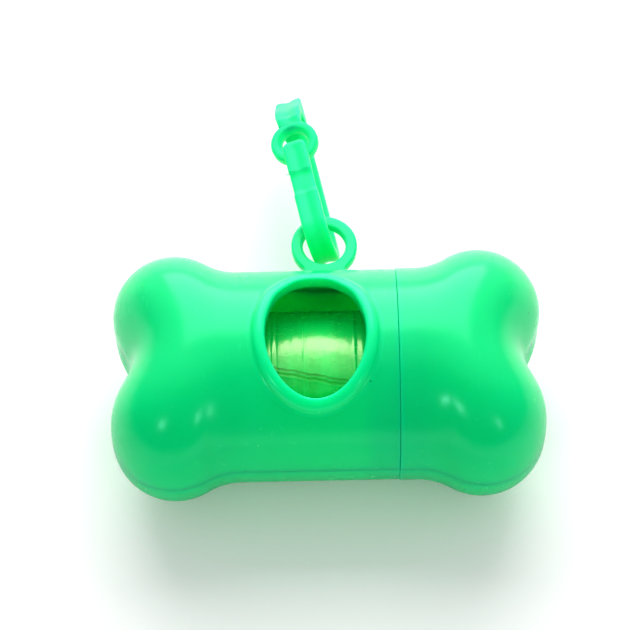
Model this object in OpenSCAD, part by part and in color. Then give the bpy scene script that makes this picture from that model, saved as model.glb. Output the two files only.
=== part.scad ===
// Bone-shaped dispenser for a roll of dog waste bags, with its clip.
// X runs along the bone, with the pull-off cap at +X. The clip is at +Y and the
// bag window faces up, +Z. The origin is the middle of the belly flat that it lies on.

/* [Bone] */
// Outer diameter of the tube between the lobes
tube_d = 42; // [40:0.5:44]
// From the middle of the bone to the centre of a lobe
lobe_x = 30.5; // [29.5:0.25:32]
// From the tube's axis to the centre of a lobe
lobe_y = 12.3; // [11.6:0.1:12.8]
// Radius of a lobe, seen from above
lobe_r = 12.3; // [11.8:0.1:13]
// Radius of the hollow curve that leads from the tube into a lobe
flare_r = 13; // [9:0.5:15]
// From the middle of the bone to the bottom of the notch between two lobes
notch_x = 39.2; // [38:0.1:40]
// From the middle of the bone to where its top and bottom begin to round off
shoulder_x = 24; // [22:0.5:26]
// Squareness of that rounding, 2 is an ellipse
shoulder_power = 2.3; // [2:0.1:2.8]
// How full the lobes are between the sides and the top
lobe_fullness = 1.8; // [1.2:0.1:2.6]
// Thickness of the moulded wall
wall = 1.8; // [1.6:0.1:2.2]
// Width of the flat along the belly, on which the bone lies
belly_w = 10; // [8:0.5:12]

/* [Cap seam] */
// From the middle of the bone to the seam of the pull-off cap
seam_x = 13.9; // [12:0.1:15]
// Gap that shows at the seam
seam_gap = 0.2; // [0.1:0.05:0.4]
// How far the cap's surface stands proud of the body's
cap_proud = 0.15; // [0:0.05:0.3]
// Wall that is left outside the sockets of the connector
socket_wall = 1.4; // [1.3:0.05:1.5]

/* [Connector sleeve] */
// Reach of the sleeve into the body and into the cap
sleeve_reach = 5.8; // [5:0.1:5.9]
// Wall of the sleeve
sleeve_wall = 1.3; // [1:0.1:1.6]
// Radial clearance of the sleeve in its sockets
sleeve_clear = 0.05; // [0.03:0.01:0.08]
// End clearance of the sleeve in its sockets
sleeve_end_clear = 0.3; // [0.2:0.05:0.5]
// Height of the bead that keeps the sleeve in the cap
bead_h = 0.3; // [0.2:0.05:0.35]
// Width of that bead
bead_w = 1.4; // [1:0.1:2]
// From the seam to the middle of the bead
bead_x = 3.5; // [2.5:0.5:4]
// Clearance of the bead in its groove
bead_clear = 0.1; // [0.05:0.05:0.15]

/* [Bag window] */
// Middle of the window along the bone
window_x = -2.2; // [-5:0.1:0]
// Width of the opening, along the bone
window_w = 19.6; // [16:0.2:21]
// Reach of the opening from the axis towards the clip
window_top = 12.2; // [9:0.1:12.6]
// Reach of the opening from the axis away from the clip
window_bottom = 13.4; // [11:0.1:14]
// From the axis to the widest place of the opening
window_wide_y = -1.3; // [-3:0.1:0]
// Width of the raised lip round the opening
lip_w = 2.9; // [2.4:0.1:3.2]
// Height of the raised lip
lip_h = 1.2; // [0.8:0.1:1.6]
// How much of the lip's inner edge is trimmed off with the opening
lip_trim = 0.4; // [0.2:0.1:0.6]

/* [Eyelet] */
// Outer diameter of the eyelet
eye_od = 13.5; // [12.5:0.1:14]
// Diameter of its hole
eye_id = 8.8; // [8.4:0.1:9.2]
// Thickness of the eyelet, both halves together
eye_t = 2.2; // [2:0.1:2.4]
// From the tube's surface to the centre of the eyelet
eye_reach = 8.5; // [8:0.1:9.5]
// Chamfer round the eyelet's edges
eye_edge = 0.5; // [0.3:0.05:0.6]
// Width of the eyelet's root on the tube
eye_root_w = 9; // [7:0.5:11]

/* [Bag roll] */
// Diameter of the wound roll of bags
roll_d = 29; // [26:0.5:30]
// Width of the roll
roll_w = 58; // [50:1:59]
// Outer diameter of the cardboard core
core_d = 15; // [12:0.5:18]
// Wall of the core
core_wall = 0.8; // [0.5:0.1:1.2]
// Thickness of the outermost bag, a folded strip
bag_t = 0.25; // [0.2:0.05:0.4]
// Gap between the roll's turns that are separate pieces
turn_gap = 0.04; // [0.02:0.01:0.08]
// Free height between the roll and the sleeve under it
roll_gap = 0.5; // [0.3:0.1:0.8]
// Angle of the outermost bag's free edge, from straight up towards the front
bag_edge_angle = 20; // [10:1:60]
// Part of a turn that the outermost bag covers
bag_turn = 330; // [240:5:345]

/* [Clip] */
// Width of the clip across its flat sides
clip_w = 5; // [4.6:0.1:5.2]
// Thickness of the clip's bars
bar_t = 2.2; // [2:0.1:2.4]
// From the swing axis to the inner face of the front bar
front_gap = 3.4; // [3.3:0.05:3.5]
// From the swing axis to the inner face of the spine
spine_gap = 5.2; // [5.1:0.1:5.3]
// From the swing axis to the centre of the loop's round end
loop_back = 1; // [0.5:0.1:1.2]
// From the swing axis to the centre of the crown's inner curve
crown_l = 26; // [25.6:0.2:29]
// From that centre to the crown's top
crown_reach = 10.3; // [10:0.1:11]
// From that centre to where the crown's front begins to slope back
slope_reach = 0.2; // [0:0.1:1]
// Width of the crown, where it is wider than the bars
crown_w = 5.5; // [5.2:0.1:5.8]
// Depth of the crown's front face behind the front bar's
nose_back = 2.45; // [2.3:0.05:2.6]
// From the swing axis to the centre of the nose ring
ring_l = 20.1; // [20:0.1:20.4]
// Outer diameter of the nose ring
ring_od = 10; // [9.6:0.1:10.4]
// Diameter of the nose ring's hole
ring_id = 5.5; // [5.4:0.1:6]
// Thickness of the nose ring
ring_t = 2.1; // [1.8:0.1:2.2]
// From the swing axis to the start of the thin bending zone
flex_start = 5.4; // [5:0.1:6]
// Length of the thin bending zone
flex_l = 6; // [5:0.1:6.4]
// Thickness of the bending zone
flex_t = 1.1; // [0.8:0.1:1.4]
// From the swing axis to the gate's tip
gate_l = 18.8; // [18.7:0.1:19]
// Width of the gate
gate_w = 4.9; // [4.5:0.1:5]
// Width of the peg on the gate's tip
peg_w = 2.8; // [2.4:0.1:3]
// Length of the peg along the gate
peg_l = 0.85; // [0.7:0.05:0.9]
// Depth that the peg reaches into the nose ring
peg_reach = 1.5; // [1:0.1:1.7]
// Width of the groove along the bars
groove_w = 1.1; // [0.8:0.1:1.5]
// Depth of that groove
groove_d = 0.3; // [0.2:0.05:0.4]

/* [Clip place] */
// Swing axis of the clip along the bone
clip_x = -1.35; // [-1.4:0.05:-1.3]
// Swing axis of the clip, from the eyelet's centre
clip_y = 4.7; // [4.65:0.05:4.75]
// Sideways lean of the clip
clip_lean = 11.1; // [10.8:0.1:11.4]
// Rise of the clip's crown
clip_rise = -2.5; // [-6:0.5:6]
// Roll of the clip about its own length
clip_roll = 12.5; // [10:0.5:12.5]

/* [Hidden] */
$fn = 96;
big = 60;
green = "springgreen";
tube_r = tube_d / 2;
axis_z = sqrt(pow(tube_r, 2) - pow(belly_w / 2, 2));
around = 36;
along = 18;

// The lobe's outline, seen from above, is a flare arc, a lobe arc and a notch arc in a row.
flare_y = tube_r + flare_r;
flare_x = lobe_x - sqrt(pow(lobe_r + flare_r, 2) - pow(flare_y - lobe_y, 2));
flare_end = atan2(lobe_y - flare_y, lobe_x - flare_x);
notch_d = notch_x - lobe_x;
notch_r = (pow(notch_d, 2) + pow(lobe_y, 2) - pow(lobe_r, 2)) / (2 * (lobe_r - notch_d));
notch_cx = notch_x + notch_r;
lobe_end = atan2(-lobe_y, notch_cx - lobe_x);
notch_start = atan2(lobe_y, lobe_x - notch_cx);

function arc(c, r, a0, a1, n) = [for (i = [0:n]) let (a = a0 + (a1 - a0) * i / n) c + r * [cos(a), sin(a)]];
function tail(p) = [for (i = [1:len(p) - 1]) p[i]];

// The outline of the lobes and the outline of the top and bottom, each moved inwards by w.
function lobe_path(w) = concat(
    arc([flare_x, flare_y], flare_r + w, -90, flare_end, 8),
    tail(arc([lobe_x, lobe_y], lobe_r - w, flare_end + 180, lobe_end, 24)),
    tail(arc([notch_cx, 0], notch_r + w, notch_start, 180, 8)));
function side_path(w) = concat([[flare_x, tube_r - w]],
    [for (i = [0:40]) let (a = 90 * i / 40, q = 2 / shoulder_power)
        [shoulder_x + (notch_x - w - shoulder_x) * pow(sin(a), q), (tube_r - w) * pow(max(cos(a), 0), q)]]);

// Points at equal steps along a path.
function lengths(p) = [for (i = 0, s = 0; i < len(p);
                            s = i < len(p) - 1 ? s + norm(p[i + 1] - p[i]) : s, i = i + 1) s];
function even(p, n) = let (s = lengths(p), end = s[len(s) - 1],
    xs = [for (i = [0:len(p) - 1]) [s[i], p[i][0]]], rs = [for (i = [0:len(p) - 1]) [s[i], p[i][1]]])
    [for (k = [0:n]) [lookup(end * k / n, xs), lookup(end * k / n, rs)]];

// One quarter turn is the top outline, the next the lobe's, blended by the angle from straight up.
function fullness(a) = 1 - pow(abs(cos(a)), 2 * lobe_fullness);
function blend(side, lobe, a) = side + (lobe - side) * fullness(a);
function ring_at(p, a) = [p[0], p[1] * sin(a), p[1] * cos(a)];
function half_grid(mouth, w) = let (lobe = even(lobe_path(w), along), side = even(side_path(w), along))
    [for (k = [-1:along - 1]) for (j = [0:around]) let (a = 180 * j / around - 90)
        ring_at(k < 0 ? [mouth, tube_r - w] : blend(side[k], lobe[k], a), a)];

// Upper half of one end of the bone, hollow, with its open mouth at x = mouth.
module half_end(mouth, swell) {
    rows = along + 1;
    cols = around + 1;
    inner = rows * cols;
    poles = 2 * inner;
    points = concat(half_grid(mouth, -swell), half_grid(mouth, wall),
                    [[notch_x + swell, 0, 0], [notch_x - wall, 0, 0]]);
    skin = [for (k = [0:rows - 2]) for (j = [0:around - 1]) let (a = k * cols + j)
            [a, a + 1, a + cols + 1, a + cols]];
    nose = [for (j = [0:around - 1]) let (a = (rows - 1) * cols + j) [a, a + 1, poles]];
    lining = [for (f = skin) [f[3] + inner, f[2] + inner, f[1] + inner, f[0] + inner]];
    end = [for (f = nose) [poles + 1, f[1] + inner, f[0] + inner]];
    near = [for (k = [0:rows - 2]) let (a = k * cols) [a, a + cols, a + cols + inner, a + inner]];
    far = [for (f = near) [f[3] + around, f[2] + around, f[1] + around, f[0] + around]];
    tips = let (a = (rows - 1) * cols) [[a, poles, poles + 1, a + inner],
                                        [a + around + inner, poles + 1, poles, a + around]];
    rim = [for (j = [0:around - 1]) [j + 1, j, j + inner, j + 1 + inner]];
    polyhedron(points, concat(skin, nose, lining, end, near, far, tips, rim), convexity = 6);
}

module along_x(x0, x1, r) {
    translate([x0, 0, 0])
        rotate([0, 90, 0])
            cylinder(h = x1 - x0, r = r);
}

socket_r = tube_r - socket_wall;
sleeve_r = socket_r - sleeve_clear;
body_mouth = seam_x - seam_gap / 2;
cap_mouth = seam_x + seam_gap / 2;
socket_depth = sleeve_reach + sleeve_end_clear;

// Outline of the window's opening, two half ellipses, grown by w.
function window_points(w, n) = [for (i = [0:n - 1]) let (a = 360 * i / n, up = sin(a) >= 0)
    [window_x + (window_w / 2 + w) * cos(a),
     window_wide_y + ((up ? window_top - window_wide_y : window_bottom + window_wide_y) + w) * sin(a)]];

// Raised lip: a half-round bead that follows the opening over the tube's curve.
module window_lip() {
    n = 72;
    sunk = wall / 2;
    mid = window_points(lip_w / 2 - lip_trim, n);
    on_tube = [for (p = mid) [p[0], p[1], sqrt(pow(tube_r, 2) - pow(p[1], 2))]];
    profile = concat([[-lip_w / 2, -sunk]], [for (i = [0:6]) let (a = 180 - 30 * i)
        [lip_w / 2 * cos(a), lip_h * sin(a)]], [[lip_w / 2, -sunk]]);
    m = len(profile);
    points = [for (i = [0:n - 1]) let (
            run = on_tube[(i + 1) % n] - on_tube[(i + n - 1) % n],
            out = [0, on_tube[i][1], on_tube[i][2]] / tube_r,
            side = cross(run, out) / norm(cross(run, out)))
        for (q = profile) on_tube[i] + side * q[0] + out * q[1]];
    faces = [for (i = [0:n - 1]) for (j = [0:m - 1]) let (i2 = (i + 1) % n, j2 = (j + 1) % m)
        [i2 * m + j, i2 * m + j2, i * m + j2, i * m + j]];
    polyhedron(points, faces, convexity = 6);
}

// Half of the eyelet that stands on one shell, above the parting plane.
module half_eyelet() {
    ri = eye_id / 2;
    ro = eye_od / 2;
    h = eye_t / 2;
    root_top = eye_reach - ri - 1;
    root_top_w = 2 * sqrt(pow(ro, 2) - pow(ri + 1, 2));
    translate([0, tube_r + eye_reach, 0])
        rotate_extrude()
            polygon([[ri, 0], [ri, h - eye_edge], [ri + eye_edge, h],
                     [ro - eye_edge, h], [ro, h - eye_edge], [ro, 0]]);
    translate([0, tube_r, 0])
        linear_extrude(h)
            polygon([[-eye_root_w / 2, -wall / 2], [eye_root_w / 2, -wall / 2],
                     [root_top_w / 2, root_top], [-root_top_w / 2, root_top]]);
}

module body_front_shell() {
    color(green)
        translate([0, 0, axis_z]) {
            difference() {
                union() {
                    mirror([1, 0, 0])
                        half_end(-body_mouth, 0);
                    window_lip();
                }
                linear_extrude(big)
                    polygon(window_points(0, 72));
                along_x(body_mouth - socket_depth, body_mouth + 1, socket_r);
            }
            half_eyelet();
        }
}

module belly_cut() {
    translate([-big, -big, -big])
        cube([2 * big, 2 * big, big]);
}

module body_rear_shell() {
    color(green)
        difference() {
            translate([0, 0, axis_z])
                rotate([180, 0, 0]) {
                    difference() {
                        mirror([1, 0, 0])
                            half_end(-body_mouth, 0);
                        along_x(body_mouth - socket_depth, body_mouth + 1, socket_r);
                    }
                    mirror([0, 1, 0])
                        half_eyelet();
                }
            belly_cut();
        }
}

// The cap's socket has a groove in which the sleeve's bead turns.
module cap_socket() {
    along_x(cap_mouth - 1, cap_mouth + socket_depth, socket_r);
    along_x(seam_x + bead_x - bead_w / 2 - bead_clear, seam_x + bead_x + bead_w / 2 + bead_clear,
            sleeve_r + bead_h + bead_clear);
}

module cap_front_shell() {
    color(green)
        translate([0, 0, axis_z])
            difference() {
                half_end(cap_mouth, cap_proud);
                cap_socket();
            }
}

module cap_rear_shell() {
    color(green)
        difference() {
            translate([0, 0, axis_z])
                rotate([180, 0, 0])
                    difference() {
                        half_end(cap_mouth, cap_proud);
                        cap_socket();
                    }
            belly_cut();
        }
}

module connector_sleeve() {
    x0 = -sleeve_reach;
    x1 = sleeve_reach;
    r0 = sleeve_r - sleeve_wall;
    lead = 0.6;
    tip = sleeve_r - lead / 2;
    color("mediumseagreen")
        translate([seam_x, 0, axis_z])
            rotate([0, 90, 0])
                rotate_extrude()
                    polygon([[r0, x0], [tip, x0], [sleeve_r, x0 + lead],
                             [sleeve_r, bead_x - bead_w / 2],
                             [sleeve_r + bead_h, bead_x - bead_w / 2 + bead_h],
                             [sleeve_r + bead_h, bead_x + bead_w / 2 - bead_h],
                             [sleeve_r, bead_x + bead_w / 2],
                             [sleeve_r, x1 - lead], [tip, x1], [r0, x1]]);
}

// The roll lies in the sleeve's bore, below the tube's axis.
roll_z = axis_z - (sleeve_r - sleeve_wall - roll_d / 2 - roll_gap);

module on_roll() {
    translate([-roll_w / 2, 0, roll_z])
        rotate([0, 90, 0])
            linear_extrude(roll_w)
                children();
}

module roll_core() {
    color("tan")
        on_roll()
            difference() {
                circle(d = core_d);
                circle(d = core_d - 2 * core_wall);
            }
}

module bag_roll() {
    color("yellowgreen")
        on_roll()
            difference() {
                circle(r = roll_d / 2 - bag_t - turn_gap);
                circle(r = core_d / 2 + turn_gap);
            }
}

// The outermost bag is one turn with a free edge that shows in the window.
module first_bag() {
    start = bag_edge_angle;
    color("greenyellow")
        on_roll()
            difference() {
                circle(d = roll_d);
                circle(r = roll_d / 2 - bag_t);
                polygon(concat([[0, 0]], [for (i = [0:6])
                    let (a = 180 + start - (360 - bag_turn) * i / 6) roll_d * [cos(a), -sin(a)]]));
            }
}

// The clip's own frame: X across its flat sides, Y along it to the crown, Z to its front bar.
module clip_place() {
    translate([clip_x, tube_r + eye_reach + clip_y, axis_z])
        rotate([0, 0, clip_lean])
            rotate([clip_rise, 0, 0])
                rotate([0, -clip_roll, 0])
                    children();
}

// Extrudes an outline drawn along the clip and through its depth.
module across(w) {
    rotate([90, 0, 90])
        linear_extrude(w, center = true)
            children();
}

front_z = front_gap + bar_t;
spine_z = -spine_gap - bar_t;
loop_c = [-loop_back, (front_z + spine_z) / 2];
loop_r = (front_z - spine_z) / 2;
nose_z = front_z - nose_back;
crown_r = (nose_z - bar_t + spine_gap) / 2;
crown_z = nose_z - bar_t - crown_r;
crown_top = crown_l + crown_reach;
slope_l = crown_l + slope_reach;
top_edge = 1.8;
slope_edge = 1.6;
crown = [[crown_l, spine_z], [crown_top - top_edge, spine_z], [crown_top, spine_z + top_edge / 2],
         [crown_top, spine_z + top_edge], [crown_top - top_edge, spine_z + 2 * top_edge],
         [slope_l + 2 * slope_edge, nose_z - slope_edge], [slope_l, nose_z]];
nose_lap = 0.6;
nose_end = ring_l + ring_id / 2 + nose_lap;

module groove(y0, y1, z) {
    translate([-groove_w / 2, y0, z - groove_d])
        cube([groove_w, y1 - y0, 2 * groove_d]);
}

// The crown, hollowed by its inner curve.
module crown_outline() {
    difference() {
        polygon(concat([[crown_l, nose_z]], crown));
        translate([crown_l, crown_z])
            circle(r = crown_r);
    }
}

// The bar from the front round the eyelet to the crown, and the nose that comes back from it.
module bent_outline() {
    polygon(concat([[flex_start, front_gap], [flex_start, front_z]],
                   arc(loop_c, loop_r, 90, 270, 24),
                   [[crown_l, spine_z], [crown_l, -spine_gap]],
                   arc(loop_c, loop_r - bar_t, 270, 90, 24)));
    polygon([[nose_end, nose_z], [nose_end, nose_z - bar_t], [crown_l, nose_z - bar_t], [crown_l, nose_z]]);
}

// One bar bent round the eyelet, up the spine and over the crown, and the ring on its nose.
module clip_frame() {
    color(green)
        clip_place() {
            difference() {
                union() {
                    across(clip_w)
                        bent_outline();
                    across(crown_w)
                        crown_outline();
                    translate([0, ring_l, nose_z - ring_t])
                        cylinder(h = ring_t, d = ring_od);
                }
                translate([0, ring_l, nose_z - ring_t - 1])
                    cylinder(h = ring_t + 2, d = ring_id);
                groove(-loop_back, flex_start + 1, front_z);
                groove(1, crown_l, spine_z);
            }
        }
}

flex_end = flex_start + flex_l;
flex_z = front_gap + bar_t / 2 - flex_t / 2;
tip_r = 0.8;

// The gate continues the front bar, and its peg drops into the nose ring.
module clip_gate() {
    color(green)
        clip_place()
            difference() {
                union() {
                    translate([-gate_w / 2, flex_end, front_gap])
                        cube([gate_w, gate_l - flex_end - tip_r, bar_t]);
                    translate([-gate_w / 2 + tip_r, flex_end, front_gap])
                        cube([gate_w - 2 * tip_r, gate_l - flex_end, bar_t]);
                    for (side = [-1, 1])
                        translate([side * (gate_w / 2 - tip_r), gate_l - tip_r, front_gap])
                            cylinder(h = bar_t, r = tip_r);
                    translate([-peg_w / 2, gate_l - peg_l, nose_z - peg_reach])
                        cube([peg_w, peg_l, front_gap - nose_z + peg_reach + bar_t / 2]);
                }
                groove(flex_end - 1, gate_l - 2, front_z);
            }
}

module gate_flexure() {
    color(green)
        clip_place()
            translate([-gate_w / 2, flex_start, flex_z])
                cube([gate_w, flex_l, flex_t]);
}

body_front_shell();
body_rear_shell();
connector_sleeve();
cap_front_shell();
cap_rear_shell();
roll_core();
bag_roll();
first_bag();
clip_frame();
clip_gate();
gate_flexure();
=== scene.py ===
"""Looks of a bone-shaped dispenser for dog waste bags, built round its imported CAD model.

Each operator makes one group of pieces from the settings in the sidebar panel. The mesh code works
in millimetres, in the model's own frame: X runs along the bone with the pull-off cap at +X, the clip
is at +Y, the bag window faces +Z, and Z = 0 is the table.
"""

import math
from types import SimpleNamespace

import bmesh
import bpy
import numpy as np
from bpy.props import FloatProperty, FloatVectorProperty, PointerProperty
from mathutils import Matrix, Vector


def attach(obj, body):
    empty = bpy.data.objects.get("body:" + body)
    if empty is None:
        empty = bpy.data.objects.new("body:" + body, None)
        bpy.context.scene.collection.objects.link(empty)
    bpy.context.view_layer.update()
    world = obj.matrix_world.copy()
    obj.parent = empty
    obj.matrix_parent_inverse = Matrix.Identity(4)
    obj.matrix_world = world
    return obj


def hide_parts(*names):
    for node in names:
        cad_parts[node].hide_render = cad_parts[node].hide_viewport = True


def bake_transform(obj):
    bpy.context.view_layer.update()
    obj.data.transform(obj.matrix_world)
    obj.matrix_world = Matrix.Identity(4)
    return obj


bl_info = {
    "name": "Bone Bag Dispenser",
    "version": (1, 0, 0),
    "blender": (4, 5, 0),
    "location": "View3D > Sidebar > Dispenser",
    "description": "Builds a bone-shaped dispenser for a roll of bags, with its clip",
    "category": "Add Mesh",
}

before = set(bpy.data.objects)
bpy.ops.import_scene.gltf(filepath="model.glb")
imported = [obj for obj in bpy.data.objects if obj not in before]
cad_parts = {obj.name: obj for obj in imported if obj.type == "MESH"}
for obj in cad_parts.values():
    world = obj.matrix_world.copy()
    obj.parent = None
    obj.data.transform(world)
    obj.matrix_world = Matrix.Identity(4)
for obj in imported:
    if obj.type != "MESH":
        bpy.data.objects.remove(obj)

MM = 0.001
TAU = 2 * math.pi
QUARTER = math.pi / 2


def length(name, mm, text, low=0.0):
    """A length, given here in millimetres and kept in metres."""
    return FloatProperty(
        name=name, description=text, default=mm * MM, min=low * MM, subtype="DISTANCE", precision=5
    )


def angle(name, degrees, text):
    """An angle, given here in degrees."""
    return FloatProperty(name=name, description=text, default=math.radians(degrees), subtype="ANGLE")


def share(name, value, text, high=10.0):
    """A plain number, such as a roughness or a power."""
    return FloatProperty(name=name, description=text, default=value, min=0, max=high)


def colour(name, rgb, text):
    """A linear colour."""
    return FloatVectorProperty(
        name=name, description=text, default=rgb, size=3, subtype="COLOR", min=0, max=1
    )


class DispenserBone(bpy.types.PropertyGroup):
    """Sizes of the case."""

    tube_d: length("Tube diameter", 42.0, "Outer diameter of the tube between the lobes")
    lobe_x: length("Lobe centre X", 30.5, "Middle of the bone to the centre of a lobe")
    lobe_y: length("Lobe centre Y", 12.3, "Tube's axis to the centre of a lobe")
    lobe_r: length("Lobe radius", 12.3, "Radius of a lobe, seen from above")
    flare_r: length("Flare radius", 13.0, "Radius of the hollow curve that leads into a lobe")
    notch_x: length("Notch X", 39.2, "Middle of the bone to the bottom of the notch between two lobes")
    shoulder_x: length("Shoulder X", 24.0, "Middle of the bone to where its top rounds off")
    shoulder_power: share("Shoulder power", 2.3, "Squareness of that rounding, 2 is an ellipse")
    lobe_fullness: share("Lobe fullness", 1.8, "How full the lobes are towards the top")
    wall: length("Wall", 1.8, "Thickness of the moulded wall")
    belly_w: length("Belly flat", 10.0, "Width of the flat on which the bone lies")
    seam_x: length("Seam X", 13.9, "Middle of the bone to the cap's seam")
    seam_gap: length("Seam gap", 0.08, "Gap that shows at the seam")
    cap_proud: length("Cap proud", 0.15, "How far the cap stands proud of the body")
    mouth_edge: length("Mouth edge", 0.15, "Rounding of the edges at the seam")
    socket_r: length("Socket radius", 19.6, "Radius of the sockets for the sleeve")
    socket_depth: length("Socket depth", 6.1, "Depth of the sockets")
    bead_x: length("Bead X", 3.5, "Seam to the middle of the bead's groove in the cap")
    bead_w: length("Bead groove width", 1.6, "Width of that groove")
    bead_depth: length("Bead groove depth", 0.35, "Depth of that groove")
    parting_depth: length("Parting depth", 0.05, "Depth of the fine groove along the parting line")
    parting_width: length("Parting width", 0.4, "Half width of that groove")


class DispenserWindow(bpy.types.PropertyGroup):
    """Sizes of the bag window and its raised lip."""

    centre_x: length("Centre X", -2.2, "Middle of the window along the bone", -20)
    width: length("Width", 19.6, "Width of the opening along the bone")
    top: length("Top", 12.2, "Reach of the opening towards the clip")
    bottom: length("Bottom", 13.4, "Reach of the opening away from the clip")
    wide_y: length("Widest Y", -1.3, "Tube's axis to the widest place of the opening", -20)
    lip_w: length("Lip width", 2.9, "Width of the raised lip")
    lip_h: length("Lip height", 1.2, "Height of the raised lip")
    lip_trim: length("Lip trim", 0.4, "Width trimmed off the lip's inner edge")
    foot: length("Lip foot", 1.0, "Width of the hollow curve at the lip's foot")
    edge: length("Edge", 0.3, "Rounding of the opening's edge")
    knife: length("Knife facets", 0.16, "Depth of the facets that a trimming knife left along the top")
    margin: length("Margin", 3.6, "Width of the finer mesh round the lip")


class DispenserEyelet(bpy.types.PropertyGroup):
    """Sizes of the eyelet."""

    outer_d: length("Outer diameter", 13.5, "Outer diameter of the eyelet")
    inner_d: length("Hole diameter", 8.8, "Diameter of its hole")
    thickness: length("Thickness", 2.2, "Thickness of both halves together")
    reach: length("Reach", 8.5, "Tube's surface to the eyelet's centre")
    edge: length("Edge", 0.5, "Rounding of its edges")
    root_w: length("Root width", 9.0, "Width of its root on the tube")
    fillet: length("Fillet", 0.7, "Softness of the corner between ring and root")


class DispenserRoll(bpy.types.PropertyGroup):
    """Sizes of the roll of bags."""

    diameter: length("Diameter", 29.0, "Diameter of the roll")
    width: length("Width", 58.0, "Width of the roll")
    core_d: length("Core diameter", 15.0, "Outer diameter of the core")
    film_t: length("Film thickness", 0.25, "Thickness of the outermost bag, a folded strip")
    drop: length("Drop", 3.25, "Tube's axis to the roll's axis")
    free_edge: angle("Free edge", 21.3, "Free edge of the outermost bag, from straight up")
    edge_slant: angle("Edge slant", 0.8, "Growth of that angle with each millimetre along the bone")
    bag_turn: angle("Bag turn", 357.0, "Part of a turn that the outermost bag covers")
    edge_lift: length("Edge lift", 0.06, "Lift of the free edge")
    wrinkle: length("Wrinkles", 0.05, "Depth of the film's soft wrinkles")


class DispenserClip(bpy.types.PropertyGroup):
    """Sizes of the clip: along it (l), across it (w) and through its depth (f) from the swing axis."""

    width: length("Width", 5.0, "Width across the flat sides")
    bar_t: length("Bar", 2.2, "Thickness of the bars")
    front_gap: length("Front gap", 3.4, "Swing axis to the inner face of the front bar")
    spine_gap: length("Spine gap", 5.2, "Swing axis to the inner face of the spine")
    loop_back: length("Loop back", 1.0, "Swing axis to the centre of the loop's round end")
    crown_l: length("Crown", 26.0, "Swing axis to the centre of the crown's inner curve")
    crown_reach: length("Crown reach", 10.3, "That centre to the crown's top")
    slope_reach: length("Slope reach", 0.2, "That centre to where the crown's front slopes back")
    crown_w: length("Crown width", 5.5, "Width of the crown, where it is wider than the bars")
    top_edge: length("Top edge", 1.8, "Size of the bevels at the crown's top")
    slope_edge: length("Slope edge", 1.6, "Size of the bevel where the slope begins")
    nose_back: length("Nose back", 2.45, "Depth of the nose's face behind the front bar's")
    ring_l: length("Ring", 20.1, "Swing axis to the centre of the nose ring")
    ring_od: length("Ring diameter", 10.0, "Outer diameter of the nose ring")
    ring_id: length("Ring hole", 5.5, "Diameter of the nose ring's hole")
    ring_t: length("Ring thickness", 2.1, "Thickness of the nose ring")
    ring_bevel: length("Ring bevel", 0.8, "Width of the bevel round the nose ring's hole")
    nose_dip: length("Nose dip", 0.3, "How far the nose's end lies under the ring's face")
    nose_lap: length("Nose lap", 0.6, "How far the nose's bar stops short of the ring's hole")
    flex_start: length("Bend start", 5.4, "Swing axis to the start of the thin bending zone")
    flex_l: length("Bend length", 6.0, "Length of the thin bending zone")
    flex_t: length("Bend thickness", 1.1, "Thickness of the bending zone")
    gate_l: length("Gate", 18.8, "Swing axis to the gate's tip")
    gate_w: length("Gate width", 4.9, "Width of the gate")
    tip_r: length("Tip radius", 1.4, "Rounding of the gate's tip")
    peg_w: length("Peg width", 2.8, "Width of the peg on the gate's tip")
    peg_l: length("Peg length", 0.85, "Length of the peg along the gate")
    peg_reach: length("Peg reach", 1.5, "Depth that the peg reaches into the nose ring")
    valley_d: length("Valley depth", 0.3, "Depth of the valley along the bars")
    valley_w: length("Valley width", 1.0, "Half width of that valley")
    edge: length("Edge", 0.6, "Rounding of the bars' outer edges")
    x: length("Place X", -1.35, "Swing axis along the bone", -20)
    y: length("Place Y", 4.7, "Swing axis from the eyelet's centre")
    lean: angle("Lean", 11.1, "Sideways lean")
    rise: angle("Rise", -2.5, "Rise of the crown")
    roll: angle("Roll", 12.5, "Roll about the clip's own length")


class DispenserLook(bpy.types.PropertyGroup):
    """Colours and finish."""

    plastic: colour("Plastic", (0.0, 0.72, 0.2), "Case plastic")
    # Painted light: a lighter copy of the plastic, painted on edges, seams, the window's cut and the
    # insides as if light came through them. Noise also mixes a little of it in at random.
    plastic_cloud_and_painted_glow: colour("Plastic, thin", (0.0, 0.95, 0.34), "Plastic where light comes through it")
    film: colour("Film", (0.0, 1.0, 0.16), "Bag film")
    # Darker film, mixed in along random streaks and painted as shade along the outer bag's free edge.
    film_streak_and_fold_shade: colour("Film, folded", (0.0, 0.55, 0.03), "Bag film in its folds")
    card: colour("Card", (0.42, 0.29, 0.17), "Core card")
    gloss: share("Roughness", 0.22, "Roughness of the plastic", 1.0)
    scatter: share("Scatter", 0.65, "Share of light that scatters inside the plastic", 1.0)
    film_scatter: share("Film scatter", 0.1, "Share of light that scatters inside the film", 1.0)


class DispenserStage(bpy.types.PropertyGroup):
    """The camera and the lamps."""

    view_w: share("Picture width", 627.0, "Width of the picture in pixels", 10000.0)
    focal: share("Focal length", 2575.0, "Focal length in pixels", 10000.0)
    distance: length("Distance", 515.0, "Camera to the point that it looks at")
    elevation: angle("Elevation", 62.0, "Height angle of the camera")
    roll: angle("Roll", 1.2, "Turn of the picture")
    aim_right: length("Aim right", -2.49, "Aim, right of the tube's middle in the picture", -50)
    aim_up: length("Aim up", 12.14, "Aim, above the tube's middle in the picture", -50)
    sensor: share("Sensor", 36.0, "Width of the sensor in millimetres", 100.0)
    fill_front: share("Fill, front", 0.38, "Strength of the even light from the front")
    fill_back: share("Fill, back", 0.76, "Strength of the even light from the back")
    gloss_front: share("Gloss, front", 0.03, "Brightness of the front as the gloss mirrors it")
    gloss_back: share("Gloss, back", 1.6, "Brightness of the back as the gloss mirrors it")
    back_light: share("Back light", 5.2, "Power of the broad lamp behind the clip, in watts", 100.0)
    floor_glow: share("Floor glow", 0.02, "Light that whitens the floor in the picture alone")


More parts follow.
